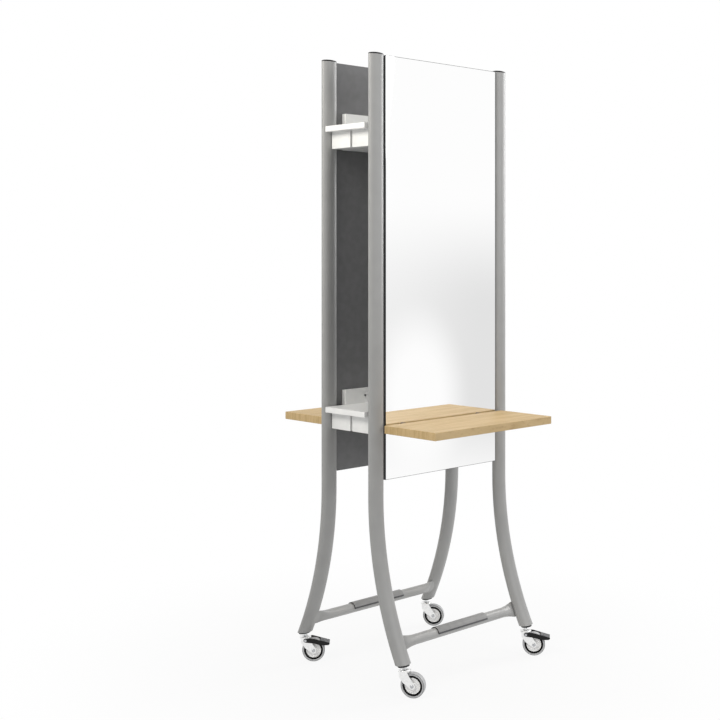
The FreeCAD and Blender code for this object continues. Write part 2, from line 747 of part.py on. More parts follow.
# ---------------------------------------------------------------- castors
# each castor is drawn about its swivel axis, with the wheel trailing along +X
def outline_block(body, points, half_width, boss):
    """Side outline with a round boss, as thick as the castor is wide there."""
    side = sketch_on(body, "XZ_Plane")
    polygon(side, points)
    pad(body, side, f"2 * {half_width}", True)
    end = sketch_on(body, "XZ_Plane")
    circle(end, *boss)
    pad(body, end, f"2 * {half_width}", True)


def castor_fork():
    body = new_body("Fork")
    top = f"{PLATE_Z} + fork_steel"
    sine, cosine = "fork_boss_radius * sin({})", "fork_boss_radius * cos({})"
    low, high = "fork_slope_low", "fork_slope_high"
    outline_block(body, (
        ("-fork_back", top),
        ("-fork_back", f"{top} - fork_shoulder"),
        ("0", f"{top} - fork_knee"),
        (f"trail - {sine.format(low)}", f"wheel_radius - {cosine.format(low)}"),
        (f"trail + {sine.format(high)}", f"wheel_radius + {cosine.format(high)}"),
        ("fork_front", PLATE_Z),
        ("fork_front", top),
    ), FORK_HALF, ("trail", "wheel_radius", "fork_boss_radius"))
    inner = f"({FORK_HALF} - fork_steel)"
    room = box("-2 * fork_plate_radius", f"-{inner}", "0",
               "2 * fork_plate_radius + trail + wheel_radius", f"2 * {inner}", PLATE_Z)
    plate = common(
        rod("Z", "0", "0", PLATE_Z, "fork_plate_radius", "fork_steel"),
        box("-fork_plate_radius", f"-{FORK_HALF}", PLATE_Z,
            "2 * fork_plate_radius", f"2 * {FORK_HALF}", "fork_steel"),
    )
    bores = [
        rod("Z", "0", "0", PLATE_Z, "pivot_radius + running_gap", "fork_steel"),
        rod("Y", "trail", f"-{FORK_HALF}", "wheel_radius", "axle_radius + fit_gap", f"2 * {FORK_HALF}"),
        rod("Y", "0", f"-{FORK_HALF}", PEDAL_Z, "pedal_pin_radius + fit_gap", f"2 * {FORK_HALF}"),
    ]
    return cut(join(cut(body, room), plate), *bores)


def riveted_pin(x, z, radius, head_radius, head_start, head_height):
    """Pin along the castor's axle direction with a riveted head on each end."""
    end = f"({head_start} + {head_height})"
    shank = rod("Y", x, f"-{end}", z, radius, f"2 * {end}")
    heads = [rod("Y", x, start, z, head_radius, head_height) for start in (f"-{end}", head_start)]
    return join(shank, *heads)


def castor_stem():
    """Stem, collar, swivel pin and its riveted end, from the plug down."""
    pin_end = f"({PLATE_Z} - swivel_gap)"
    steps = (
        (PLUG_Z, "stem_radius", "stem_length"),
        (COLLAR_Z, "collar_radius", "collar_height"),
        (pin_end, "pivot_radius", f"{COLLAR_Z} - {pin_end}"),
        (f"{pin_end} - pivot_head_height", "pivot_head_radius", "pivot_head_height"),
    )
    return join(*[rod("Z", "0", "0", *step) for step in steps])


def wheel_ring(steps):
    """Turned piece about the axle, from pairs of radius and half width; mirrored across the wheel."""
    body = new_body("Ring")
    sketch = sketch_on(body, "XY_Plane", "wheel_radius")
    outline = [(f"trail + {radius}", f"-{half}") for radius, half in steps]
    outline += [(f"trail + {radius}", half) for radius, half in reversed(steps)]
    polygon(sketch, outline)
    axis_line(sketch, "trail")
    revolve(body, sketch)
    return body


def wheel_rim():
    bore = "(axle_radius + running_gap)"
    inner = "(tyre_bore - rim_wall)"
    return wheel_ring((
        (bore, "(hub_width / 2)"), ("hub_radius", "(hub_width / 2)"),
        ("hub_radius", "(web_width / 2)"), (inner, "(web_width / 2)"),
        (inner, "(rim_width / 2)"), ("tyre_bore", "(rim_width / 2)"),
    ))


def wheel_tyre():
    body = wheel_ring((("tyre_bore", "(tyre_width / 2)"), ("wheel_radius", "(tyre_width / 2)")))
    radius = sheet.wheel_radius
    dress(body, "Fillet", "tyre_round", lambda edge: abs(edge.Curve.Radius - radius) < 0.01
          if edge.Curve.TypeId == "Part::GeomCircle" else False)
    return body


def brake_pedal():
    body = new_body("Pedal")
    outline_block(body, (
        ("0", f"{PEDAL_Z} + pedal_boss_radius"),
        ("pedal_crown", f"{PEDAL_Z} + pedal_crown_rise"),
        ("pedal_reach", f"{PEDAL_Z} - pedal_tip_drop"),
        ("pedal_reach", f"{PEDAL_Z} - pedal_tip_drop - pedal_tip_height"),
        ("pedal_belly_end", f"{PEDAL_Z} - pedal_belly_drop"),
        ("pedal_belly_start", f"{PEDAL_Z} - pedal_belly_drop"),
        ("pedal_waist", f"{PEDAL_Z} - pedal_waist_drop"),
        ("0", f"{PEDAL_Z} - pedal_boss_radius"),
    ), PEDAL_OUT, ("0", PEDAL_Z, "pedal_boss_radius"))
    window = box("-2 * pedal_boss_radius", f"-{PEDAL_IN}", "0",
                 "2 * pedal_boss_radius + tread_start", f"2 * {PEDAL_IN}", "3 * wheel_radius")
    tyre = rod("Y", "trail", f"-{PEDAL_IN}", "wheel_radius", "wheel_radius + brake_gap", f"2 * {PEDAL_IN}")
    bore = rod("Y", "0", f"-{PEDAL_OUT}", PEDAL_Z, "pedal_pin_radius + running_gap", f"2 * {PEDAL_OUT}")
    return cut(body, window, tyre, bore)


CASTOR_PIECES = (
    ("castor_fork", castor_fork, False),
    ("castor_axle", lambda: riveted_pin(
        "trail", "wheel_radius", "axle_radius", "axle_head_radius", FORK_HALF, "axle_head_height"), False),
    ("wheel_rim", wheel_rim, False),
    ("wheel_tyre", wheel_tyre, False),
    ("brake_pedal", brake_pedal, True),
    ("pedal_pin", lambda: riveted_pin(
        "0", PEDAL_Z, "pedal_pin_radius", "pedal_pin_head",
        f"({PEDAL_OUT} + pedal_pin_gap)", "pedal_pin_head_height"), True),
)
stems = []
for corner, side_x, side_y, braked in CORNERS:
    spot = (f"{side_x} * ({POST_X} - castor_inset)", f"{side_y} * {LEG_Y}")
    for name, maker, brake_only in CASTOR_PIECES:
        if braked or not brake_only:
            node(maker(), f"{name}_{corner}", *spot, ("Z", f"turn_{corner}"))
    stems.append(place(castor_stem(), *spot, "0"))
node(group(stems), "castor_stems")


# ---------------------------------------------------------------- check and write
doc.recompute()
faults = [item.Name for item in doc.Objects if {"Invalid", "Error"} & set(item.State)]
assert not faults, faults
for item in NODES:
    assert not item.Shape.isNull() and item.Shape.isValid(), item.Label
os.makedirs("parts", exist_ok=True)
for item in NODES:
    item.Shape.exportStep(f"parts/{item.Label}.step")
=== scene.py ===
"""Double sided salon station: finishes, finely modelled pieces, studio and camera.

Lengths are millimetres in the station's own frame, whose X starts midway between the posts,
and a piece is turned to metres in the part's frame when it is finished. The studio, its
lamps and the camera are in metres.
"""
import json
import math

import bmesh
import bpy
from mathutils import Matrix, Vector


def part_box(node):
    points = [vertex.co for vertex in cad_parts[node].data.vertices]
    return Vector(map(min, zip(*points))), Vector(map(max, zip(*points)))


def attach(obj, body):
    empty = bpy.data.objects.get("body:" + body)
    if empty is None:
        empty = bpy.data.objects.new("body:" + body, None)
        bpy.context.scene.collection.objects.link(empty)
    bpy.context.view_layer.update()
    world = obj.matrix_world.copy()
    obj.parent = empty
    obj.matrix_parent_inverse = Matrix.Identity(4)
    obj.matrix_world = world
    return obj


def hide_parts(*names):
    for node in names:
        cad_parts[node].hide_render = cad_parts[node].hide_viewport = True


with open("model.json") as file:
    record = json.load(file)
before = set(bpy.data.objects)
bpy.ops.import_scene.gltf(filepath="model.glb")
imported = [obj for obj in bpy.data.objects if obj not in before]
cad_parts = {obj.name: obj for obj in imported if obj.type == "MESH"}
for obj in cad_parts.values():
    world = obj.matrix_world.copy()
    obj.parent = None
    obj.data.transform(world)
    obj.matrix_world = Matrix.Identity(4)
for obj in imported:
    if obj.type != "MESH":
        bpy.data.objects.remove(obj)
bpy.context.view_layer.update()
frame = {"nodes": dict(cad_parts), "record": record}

MM = 0.001
FRONT, REAR = "front", "rear"
CORNERS = {
    "rear_left": (-1, 1),
    "front_left": (-1, -1),
    "front_right": (1, -1),
    "rear_right": (1, 1),
}
BRAKED = ("rear_left", "front_right")
X, Y = 0, 1

# Vertices nearer than the first are one, and places nearer than the second count as the same.
MERGE = 0.001
CLOSE = 0.01


# ---------------------------------------------------------------- sizes read from the frame
def limits(node):
    """Lowest and highest corner of a node, in millimetres from the middle of the posts."""
    low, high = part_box(node)
    return (low - CENTRE) / MM, (high - CENTRE) / MM


deck_low, deck_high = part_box("deck_upper")
CENTRE = Vector(((deck_low.x + deck_high.x) / 2, 0, 0))
STATION = Matrix.Translation(CENTRE) @ Matrix.Scale(MM, 4)

cap_low, cap_high = limits("post_cap_front_right")
post_low, post_high = limits("post_front_right")
POST_X = (post_low.x + post_high.x) / 2
POST_Y = (cap_low.y + cap_high.y) / 2
POST_WIDE = cap_high.x - cap_low.x
POST_DEEP = cap_high.y - cap_low.y
POST_TOP = post_high.z
LEG_CUT = post_low.z
COLLAR_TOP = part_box("leg_plug_front_left")[0].z / MM

# The tube's own sizes, which its box doesn't give.
POST_WALL = 2.0
BEND_START = 592.0
BEND_RADIUS = 1085.0


def leg_swing(height):
    """How far the leg's centre line has curved outwards at a height."""
    return BEND_RADIUS - math.sqrt(BEND_RADIUS ** 2 - (BEND_START - height) ** 2)


# ---------------------------------------------------------------- materials
EVEN = (1, 1, 1)
TONE_SPAN = (0.3, 0.7)

# How much finer detail a noise holds.
CRISP, MILD, SMOOTH = 3.0, 2.0, 1.0

# A Mix node has sockets for every kind of data; these are the places of its colour ones.
MIX_FIRST, MIX_SECOND, MIX_RESULT = 6, 7, 2


def colour(code):
    """sRGB hex to the linear values that a shader takes."""
    channels = [int(code[i:i + 2], 16) / 255 for i in (0, 2, 4)]
    return [c / 12.92 if c <= 0.04045 else ((c + 0.055) / 1.055) ** 2.4 for c in channels] + [1.0]


def add(tree, kind, settings=None, links=None):
    """Add a node; settings go to its inputs or properties, links join outputs to its inputs."""
    new = tree.nodes.new(kind)
    for name, value in (settings or {}).items():
        if isinstance(name, int) or name in new.inputs:
            new.inputs[name].default_value = value
        else:
            setattr(new, name, value)
    for name, source in (links or {}).items():
        tree.links.new(source, new.inputs[name])
    return new


def new_finish(name, patterns, **settings):
    """Material with one Principled shader, and the noises that its finish follows.

    A pattern is the size of its blotches in millimetres, their stretch along X, Y and Z,
    and how much finer detail they hold.
    """
    material = bpy.data.materials.new(name)
    material.use_nodes = True
    tree = material.node_tree
    shader = tree.nodes["Principled BSDF"]
    for socket, value in settings.items():
        shader.inputs[socket.replace("_", " ")].default_value = value
    place = add(tree, "ShaderNodeTexCoord").outputs["Object"]
    noises = []
    for size, stretch, detail in patterns:
        scale = [1 / (MM * size * longer) for longer in stretch]
        spread = add(tree, "ShaderNodeVectorMath", {"operation": "MULTIPLY", 1: scale}, {0: place})
        noise = add(tree, "ShaderNodeTexNoise", {"Scale": 1.0, "Detail": detail},
                    {"Vector": spread.outputs[0]})
        noises.append(noise.outputs["Fac"])
    return material, noises


def give_figure(material, tone=None, gloss=None, relief=None):
    """Let a material's colour, roughness and height follow its noises.

    tone is a noise with two colours, gloss a noise with two roughnesses, and relief a
    noise with a height in millimetres and its strength.
    """
    tree = material.node_tree
    shader = tree.nodes["Principled BSDF"]
    if tone:
        noise, low, high = tone
        ramp = add(tree, "ShaderNodeValToRGB", {}, {"Fac": noise})
        first, last = ramp.color_ramp.elements
        first.position, last.position = TONE_SPAN
        first.color, last.color = colour(low), colour(high)
        tree.links.new(ramp.outputs["Color"], shader.inputs["Base Color"])
    if gloss:
        noise, low, high = gloss
        span = add(tree, "ShaderNodeMapRange", {"To Min": low, "To Max": high}, {"Value": noise})
        tree.links.new(span.outputs["Result"], shader.inputs["Roughness"])
    if relief:
        noise, height, strength = relief
        bump = add(tree, "ShaderNodeBump", {"Strength": strength, "Distance": height * MM},
                   {"Height": noise})
        tree.links.new(bump.outputs["Normal"], shader.inputs["Normal"])


def powder_coat(name, low, high, rough):
    """Polyester powder baked on steel: an even satin skin with a faint orange peel.

    The real peel is about 1 mm across; it is drawn at 4 mm, the finest that shows.
    """
    patterns = ((4.0, EVEN, CRISP), (60.0, EVEN, SMOOTH))
    material, (peel, cloud) = new_finish(name, patterns, IOR=1.6)
    give_figure(
        material, tone=(cloud, low, high), gloss=(cloud, rough - 0.03, rough + 0.03),
        relief=(peel, 0.03, 0.15),
    )
    return material


def moulded(name, low, high, rough, grain=1.5, depth=0.05, shine=0.5):
    """Injection-moulded plastic with a fine eroded grain, drawn coarser than it is to show."""
    patterns = ((grain, EVEN, CRISP), (25.0, EVEN, SMOOTH))
    material, (pits, cloud) = new_finish(name, patterns, IOR=1.46, Specular_IOR_Level=shine)
    give_figure(
        material, tone=(cloud, low, high), gloss=(pits, rough - 0.05, rough + 0.05),
        relief=(pits, depth, 0.5),
    )
    return material


def plated(name, low, high, rough, brush=EVEN):
    """Zinc-plated steel: a bright metal whose crystals and rolling marks scatter the light."""
    material, (spangle,) = new_finish(name, ((6.0, brush, CRISP),), Metallic=1.0)
    give_figure(
        material, tone=(spangle, low, high), gloss=(spangle, rough - 0.06, rough + 0.08),
        relief=(spangle, 0.02, 0.5),
    )
    return material


def lacquered_oak(name, low, high, pore):
    """Light oak under matt lacquer: straight grain along the board and short open pores.

    The year rings show as bands of about 9 mm, with pores drawn 1.2 mm wide.
    """
    patterns = ((9.0, (28, 1, 12), MILD), (1.2, (22, 1, 8), MILD))
    material, (bands, pores) = new_finish(name, patterns, IOR=1.55)
    tree = material.node_tree
    warp = add(tree, "ShaderNodeMath", {"operation": "MULTIPLY", 1: 5.0}, {0: bands})
    rings = add(tree, "ShaderNodeMath", {"operation": "PINGPONG", 1: 1.0}, {0: warp.outputs[0]})
    wood = add(tree, "ShaderNodeValToRGB", {}, {"Fac": rings.outputs[0]})
    wood.color_ramp.elements[0].color = colour(low)
    wood.color_ramp.elements[1].color = colour(high)
    deepening = {"From Min": 0.56, "From Max": 0.72, "To Max": 0.45}
    share = add(tree, "ShaderNodeMapRange", deepening, {"Value": pores})
    mixed = add(tree, "ShaderNodeMix", {"data_type": "RGBA", MIX_SECOND: colour(pore)},
                {"Factor": share.outputs["Result"], MIX_FIRST: wood.outputs["Color"]})
    tree.links.new(mixed.outputs[MIX_RESULT], tree.nodes["Principled BSDF"].inputs["Base Color"])
    give_figure(material, gloss=(pores, 0.5, 0.62), relief=(pores, 0.05, 0.4))
    return material


def silvering(name):
    """Silver behind float glass: a clean mirror, with only a breath of haze left by wiping."""
    patterns = ((180.0, (1, 1, 2), MILD),)
    material, (wiping,) = new_finish(name, patterns, Metallic=1.0, Base_Color=colour("FDFDFD"))
    give_figure(material, gloss=(wiping, 0.0, 0.03))
    return material


def ground_glass(name):
    """Ground and polished edge of float glass: iron gives it a dark green depth."""
    material, (depth,) = new_finish(name, ((12.0, (1, 1, 6), SMOOTH),), IOR=1.4)
    give_figure(material, tone=(depth, "0E1513", "1B2522"), gloss=(depth, 0.12, 0.25))
    return material


def rubbery(name, low, high, rough, grain):
    """Soft rubber or polyurethane: matt, with a slight bloom that lightens it in patches."""
    patterns = ((18.0, EVEN, CRISP), (grain, EVEN, CRISP))
    material, (bloom, skin) = new_finish(name, patterns, IOR=1.5, Sheen_Weight=0.15, Sheen_Roughness=0.5)
    give_figure(
        material, tone=(bloom, low, high), gloss=(skin, rough - 0.05, rough + 0.05),
        relief=(skin, 0.08, 0.5),
    )
    return material


# The posts and the bars are coated in the same light grey; the bars' coat is drawn a shade paler as painted
# light from above.
GREY_POWDER = powder_coat("warm_grey_powder_coat", "9B9B9A", "A0A09F", 0.38)
PAINTED_LIGHT_POWDER = powder_coat("grey_powder_coat_painted_light", "A9A9A8", "AEAEAD", 0.36)
WHITE_POWDER = powder_coat("white_powder_coat", "F1F1EF", "F5F5F3", 0.42)

# Melamine film and board lacquer are as smooth and even as a fine moulded skin.
MELAMINE = moulded("white_melamine_board", "F2F2F1", "F6F6F4", 0.34, grain=3.0, depth=0.02)
HARDBOARD = moulded("grey_lacquered_hardboard", "747475", "7B7B7C", 0.5, grain=2.0, depth=0.04)
OAK = lacquered_oak("lacquered_oak", "BA9D6A", "CCB080", "9C7A4E")
SILVER = silvering("silvered_glass")
GLASS_EDGE = ground_glass("polished_glass_edge")

# The nylons and rubbers differ in colour, grain and how much they shine; the sleeves, the tread's lips and
# ends and the tyre's shoulder are darker as painted shade.
CAP_NYLON = moulded("black_nylon_cap", "0A0A0B", "101011", 0.5, shine=0.25)
PLUG_NYLON = moulded("dark_nylon_plug", "0E0E0F", "161617", 0.6, shine=0.25)
END_NYLON = moulded("white_moulded_end_plate", "EEEEEC", "F3F3F1", 0.4)
HUB_NYLON = moulded("off_white_nylon_hub", "FCFCFC", "FFFFFF", 0.4, depth=0.01)
RING_NYLON = moulded("black_nylon_ring", "030303", "060606", 0.6, shine=0.15)
PEDAL_NYLON = moulded("black_nylon_pedal", "0B0B0C", "131314", 0.5, shine=0.3)
# The shelf's sleeves are drawn dark brown as painted shade of the gap behind the shelf.
SLEEVE_PAINTED_SHADE = moulded("nylon_sleeve_painted_shade", "57493A", "615344", 0.6)
SPACER_NYLON = moulded("dark_nylon_spacer", "2E2A26", "37332E", 0.6)
TREAD_RUBBER = rubbery("grey_tread_rubber", "8F8F8F", "999999", 0.6, grain=1.6)
# Painted shade on the footrest tread: dark grey along its lower edges, and black as the shadow at its ends.
LIP_PAINTED_SHADE = rubbery("tread_lip_painted_shade", "48484A", "525254", 0.6, grain=1.6)
END_PAINTED_SHADOW = rubbery("tread_end_painted_shadow", "1A1A1B", "222223", 0.6, grain=1.6)
TYRE_RUBBER = rubbery("grey_castor_rubber", "BABBBD", "C5C6C8", 0.55, grain=1.4)
# Painted shade: a darker grey on the tyre's rounded shoulder.
TYRE_SHOULDER_SHADE = rubbery("castor_tyre_painted_shoulder_shade", "77787A", "828385", 0.6, grain=1.4)
TYRE_BAND = rubbery("worn_grey_castor_tread", "B9BABC", "C4C5C7", 0.6, grain=1.2)
PEDAL_TREAD = rubbery("grey_pedal_tread", "5C5D60", "6B6C6F", 0.55, grain=1.2)

# The stems' zinc is duller than the forks'; drawn and turned steel is darker and smoother.
ZINC = plated("bright_zinc_plate", "E6E6E6", "F2F2F1", 0.32)
STEM_STEEL = plated("dull_zinc_plated_steel", "DADBDC", "E8E9E9", 0.36)
ROD_STEEL = plated("bright_drawn_steel_rod", "B9BABC", "C9CACC", 0.28, brush=(1, 8, 1))
SCREW_STEEL = plated("zinc_plated_screw", "C6C7C9", "D6D7D9", 0.34)
RIVET_STEEL = plated("turned_steel_rivet", "A9AAAD", "BDBEC0", 0.3)
SCREW_PAINT = moulded("white_painted_screw", "EDEDEC", "F2F2F1", 0.4)


# ---------------------------------------------------------------- building pieces
def finish(name, bm, finishes, body, nodes=(), place=Matrix(), sharp=32.0):
    """Place a bmesh, shade it smooth between its sharp edges, and hang it on its body."""
    bmesh.ops.remove_doubles(bm, verts=bm.verts, dist=MERGE)
    bmesh.ops.recalc_face_normals(bm, faces=bm.faces)
    bmesh.ops.transform(bm, matrix=STATION @ place, verts=bm.verts)
    mesh = bpy.data.meshes.new(name)
    bm.to_mesh(mesh)
    bm.free()
    for face in mesh.polygons:
        face.use_smooth = True
    mesh.set_sharp_from_angle(angle=math.radians(sharp))
    for material in finishes:
        mesh.materials.append(material)
    item = bpy.data.objects.new(name, mesh)
    bpy.context.scene.collection.objects.link(item)
    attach(item, body)
    if nodes:
        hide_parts(*nodes)
    return item


def turned(angle):
    """Turn about the upright axis in the middle of the station."""
    return Matrix.Rotation(math.radians(angle), 4, "Z")


def soften(bm, rounding, segments=3, least=30.0, chosen=None):
    """Round the edges that are sharper than an angle."""
    limit = math.radians(least)
    edges = [e for e in bm.edges if len(e.link_faces) == 2 and e.calc_face_angle() > limit]
    if chosen:
        edges = [e for e in edges if chosen(e)]
    bmesh.ops.bevel(
        bm, geom=edges, offset=rounding, offset_type="OFFSET", segments=segments,
        profile=0.5, affect="EDGES", material=-1, clamp_overlap=True,
    )


def block(low, high, rounding, segments=3, chosen=None):
    """Board or bar between two corners with rounded edges."""
    bm = bmesh.new()
    bmesh.ops.create_cube(bm, size=1.0)
    low, high = Vector(low), Vector(high)
    bmesh.ops.scale(bm, vec=high - low, verts=bm.verts)
    bmesh.ops.translate(bm, vec=(low + high) / 2, verts=bm.verts)
    soften(bm, rounding, segments, chosen=chosen)
    return bm


def lathe(profile, steps=64, closed=True):
    """Spin pairs of radius and height about the Z axis."""
    bm = bmesh.new()
    points = [bm.verts.new((radius, 0, height)) for radius, height in profile]
    pairs = list(zip(points, points[1:]))
    if closed:
        pairs.append((points[-1], points[0]))
    edges = [bm.edges.new(pair) for pair in pairs]
    bmesh.ops.spin(
        bm, geom=points + edges, cent=(0, 0, 0), axis=(0, 0, 1), dvec=(0, 0, 0),
        angle=2 * math.pi, steps=steps, use_merge=True, use_duplicate=False,
    )
    bmesh.ops.remove_doubles(bm, verts=bm.verts, dist=MERGE)
    return bm


def mirrored_profile(half):
    """Profile of a wheel piece from its half above the wheel's middle, mirrored below."""
    return list(half) + [(radius, -height) for radius, height in reversed(half)]


def new_verts(result):
    """The vertices that an operator made."""
    return [item for item in result["geom"] if isinstance(item, bmesh.types.BMVert)]


def new_faces(result):
    """The faces that an operator made."""
    return [item for item in result["geom"] if isinstance(item, bmesh.types.BMFace)]


def edge_span(edge, axis):
    """How far an edge reaches along an axis."""
    return abs(edge.verts[0].co[axis] - edge.verts[1].co[axis])


def extruded(outline, low, high):
    """Flat outline in the XZ plane, drawn between two places along Y."""
    bm = bmesh.new()
    face = bm.faces.new([bm.verts.new((x, low, z)) for x, z in outline])
    grown = bmesh.ops.extrude_face_region(bm, geom=[face], use_keep_orig=True)
    bmesh.ops.translate(bm, vec=(0, high - low, 0), verts=new_verts(grown))
    return bm


def arc(x, z, radius, start, end, steps):
    """Points on a circle between two angles in degrees."""
    angles = [math.radians(start + (end - start) * i / steps) for i in range(steps + 1)]
    return [(x + radius * math.cos(a), z + radius * math.sin(a)) for a in angles]


def transformed(bm, matrix):
    """A bmesh that a matrix has moved."""
    bmesh.ops.transform(bm, matrix=matrix, verts=bm.verts)
    return bm


def merged(*parts):
    """Several bmeshes in one."""
    whole = bmesh.new()
    for part in parts:
        scratch = bpy.data.meshes.new("scratch")
        part.to_mesh(scratch)
        part.free()
        whole.from_mesh(scratch)
        bpy.data.meshes.remove(scratch)
    return whole


# ---------------------------------------------------------------- posts, caps and plugs
OVAL_STEPS = 72
BEND_STEPS = 56


def oval_ring(bm, wide, deep, z):
    """Filled oval, flat at a height."""
    made = bmesh.ops.create_circle(bm, cap_ends=True, segments=OVAL_STEPS, radius=0.5)
    bmesh.ops.scale(bm, vec=(wide, deep, 1), verts=made["verts"])
    bmesh.ops.translate(bm, vec=(0, 0, z), verts=made["verts"])


def post_tube():
    """Oval tube, straight from the top and bent outwards below, cut level at the foot.

    The bend is spun past the foot, so that the level cut meets the whole oval.
    """
    bm = bmesh.new()
    oval_ring(bm, POST_WIDE, POST_DEEP, POST_TOP)
    middle = list(bm.faces)
    bmesh.ops.inset_region(bm, faces=middle, thickness=POST_WALL, use_boundary=True, use_even_offset=True)
    bmesh.ops.delete(bm, geom=middle, context="FACES")
    ring = list(bm.faces)
    down = bmesh.ops.extrude_face_region(bm, geom=ring, use_keep_orig=True)
    bmesh.ops.translate(bm, vec=(0, 0, BEND_START - POST_TOP), verts=new_verts(down))
    ring = new_faces(down)
    edges = list({edge for face in ring for edge in face.edges})
    angle = math.asin((BEND_START - LEG_CUT + POST_DEEP) / BEND_RADIUS)
    bmesh.ops.spin(
        bm, geom=ring + edges + new_verts(down), cent=(0, -BEND_RADIUS, BEND_START), axis=(-1, 0, 0),
        dvec=(0, 0, 0), angle=angle, steps=BEND_STEPS, use_merge=False, use_duplicate=False,
    )
    trimmed = bmesh.ops.bisect_plane(
        bm, geom=list(bm.verts) + list(bm.edges) + list(bm.faces), dist=0.0001,
        plane_co=(0, 0, LEG_CUT), plane_no=(0, 0, -1), clear_outer=True,
    )
    rims = [item for item in trimmed["geom_cut"] if isinstance(item, bmesh.types.BMEdge)]
    bmesh.ops.bridge_loops(bm, edges=rims)
    return bm


CAP_RIM = 2.0
CAP_ROUNDING = 0.6
DOME_STEPS = 9
DOME_TIP = 0.04


def post_cap():
    """Thin moulded cap: a rim as wide as the tube under a shallow dome."""
    bm = bmesh.new()
    dome = cap_high.z - POST_TOP - CAP_RIM
    rings = [(1 - CAP_ROUNDING / POST_DEEP, POST_TOP), (1.0, POST_TOP + CAP_ROUNDING)]
    rings += [(1.0, POST_TOP + CAP_RIM)]
    for step in range(1, DOME_STEPS + 1):
        angle = math.pi / 2 * step / DOME_STEPS
        rings.append((max(math.cos(angle), DOME_TIP), POST_TOP + CAP_RIM + dome * math.sin(angle)))
    share, height = rings[0]
    oval_ring(bm, POST_WIDE * share, POST_DEEP * share, height)
    face = bm.faces[:][0]
    for wider, higher in rings[1:]:
        grown = bmesh.ops.extrude_face_region(bm, geom=[face], use_keep_orig=(height == POST_TOP))
        ratio = wider / share
        bmesh.ops.scale(bm, vec=(ratio, ratio, 1), verts=new_verts(grown))
        bmesh.ops.translate(bm, vec=(0, 0, higher - height), verts=new_verts(grown))
        face = new_faces(grown)[0]
        share, height = wider, higher
    return bm


PLUG_SHARE = 0.76
PLUG_PLATE = 8.0
PLUG_GAP = 0.3
PLUG_SEAT = 1.0
PLUG_EDGE = 0.8


def leg_plug():
    """Moulded plug: an oval flange under the tube, on a plate that closes the tube's cut."""
    bm = bmesh.new()
    slope = math.cos(math.asin((BEND_START - LEG_CUT) / BEND_RADIUS))
    wide, deep = PLUG_SHARE * POST_WIDE, PLUG_SHARE * POST_DEEP / slope
    plate_wide = POST_WIDE - 2 * (POST_WALL + PLUG_GAP)
    plate_deep = (POST_DEEP - 2 * (POST_WALL + PLUG_GAP)) / slope
    seat = LEG_CUT + PLUG_SEAT
    rings = [(wide - 2 * PLUG_EDGE, deep - 2 * PLUG_EDGE, COLLAR_TOP)]
    rings += [(wide, deep, COLLAR_TOP + PLUG_EDGE), (wide, deep, seat)]
    rings += [(plate_wide, plate_deep, seat), (plate_wide, plate_deep, seat + PLUG_PLATE)]
    here = rings[0]
    oval_ring(bm, *here)
    bmesh.ops.translate(bm, vec=(0, -leg_swing(here[2]), 0), verts=bm.verts)
    face = bm.faces[:][0]
    for ring in rings[1:]:
        grown = bmesh.ops.extrude_face_region(bm, geom=[face], use_keep_orig=(here is rings[0]))
        centre = Matrix.Translation((0, leg_swing(here[2]), 0))
        ratio = (ring[0] / here[0], ring[1] / here[1], 1)
        bmesh.ops.scale(bm, vec=ratio, space=centre, verts=new_verts(grown))
        step = (0, leg_swing(here[2]) - leg_swing(ring[2]), ring[2] - here[2])
        bmesh.ops.translate(bm, vec=step, verts=new_verts(grown))
        face, here = new_faces(grown)[0], ring
    return bm


for corner, (side_x, side_y) in CORNERS.items():
    turn = turned(0 if side_y < 0 else 180)
    spot = Matrix.Translation((side_x * POST_X, side_y * abs(POST_Y), 0)) @ turn
    finish(f"oval_plug_{corner}", leg_plug(), [PLUG_NYLON], "frame", [f"leg_plug_{corner}"], spot)
    finish(f"bent_post_{corner}", post_tube(), [GREY_POWDER], "frame",
           [f"post_{corner}"], spot)
    finish(f"domed_cap_{corner}", post_cap(), [CAP_NYLON], "frame", [f"post_cap_{corner}"], spot)


# ---------------------------------------------------------------- footrests
bar_low, bar_high = limits("footrest_bar_front")
BAR_RADIUS = 16.0
BAR_Y = (bar_low.y + bar_high.y) / 2
BAR_Z = 147.5
BAR_TILT = math.asin((BEND_START - BAR_Z) / BEND_RADIUS)
BAR_INSET = (BAR_Y - POST_Y + leg_swing(BAR_Z)) * math.cos(BAR_TILT)
FLARE_START = 205.0
FLARE_LENGTH = 60.0
FLARE_SPREAD = 9.0
FLARE_PINCH = 11.5
RING_STEPS = 48
FLARE_RINGS = 20
LEG_GRIP = 0.3
BAR_SPOT = Matrix.Translation((0, BAR_Y, BAR_Z)) @ Matrix.Rotation(-BAR_TILT, 4, "X")


def flare_ring(bm, side, share):
    """One ring of the flattened end: the last one lies on the oval of the leg."""
    ring = []
    for step in range(RING_STEPS):
        angle = 2 * math.pi * step / RING_STEPS
        from_leg = BAR_INSET + (BAR_RADIUS - FLARE_PINCH) * math.cos(angle)
        reach = POST_WIDE / 2 * math.sqrt(1 - (2 * from_leg / POST_DEEP) ** 2)
        end = POST_X - reach + LEG_GRIP
        x = FLARE_START + (end - FLARE_START) * share
        grown = min((x - FLARE_START) / FLARE_LENGTH, 1.0) ** 2
        along = (BAR_RADIUS + FLARE_SPREAD * grown) * math.sin(angle)
        across = (BAR_RADIUS - FLARE_PINCH * grown) * math.cos(angle)
        ring.append(bm.verts.new((side * x, across, along)))
    return [bm.edges.new((ring[i - 1], ring[i])) for i in range(RING_STEPS)]


def footrest_tube():
    """Round tube whose ends are flattened along the legs and rest on their inner faces."""
    bm = bmesh.new()
    shares = [i / FLARE_RINGS for i in range(FLARE_RINGS + 1)]
    loops = [flare_ring(bm, -1, share) for share in reversed(shares)]
    loops += [flare_ring(bm, 1, share) for share in shares]
    for near, far in zip(loops, loops[1:]):
        bmesh.ops.bridge_loops(bm, edges=near + far)
    for loop in (loops[0], loops[-1]):
        bmesh.ops.contextual_create(bm, geom=loop)
    return bm


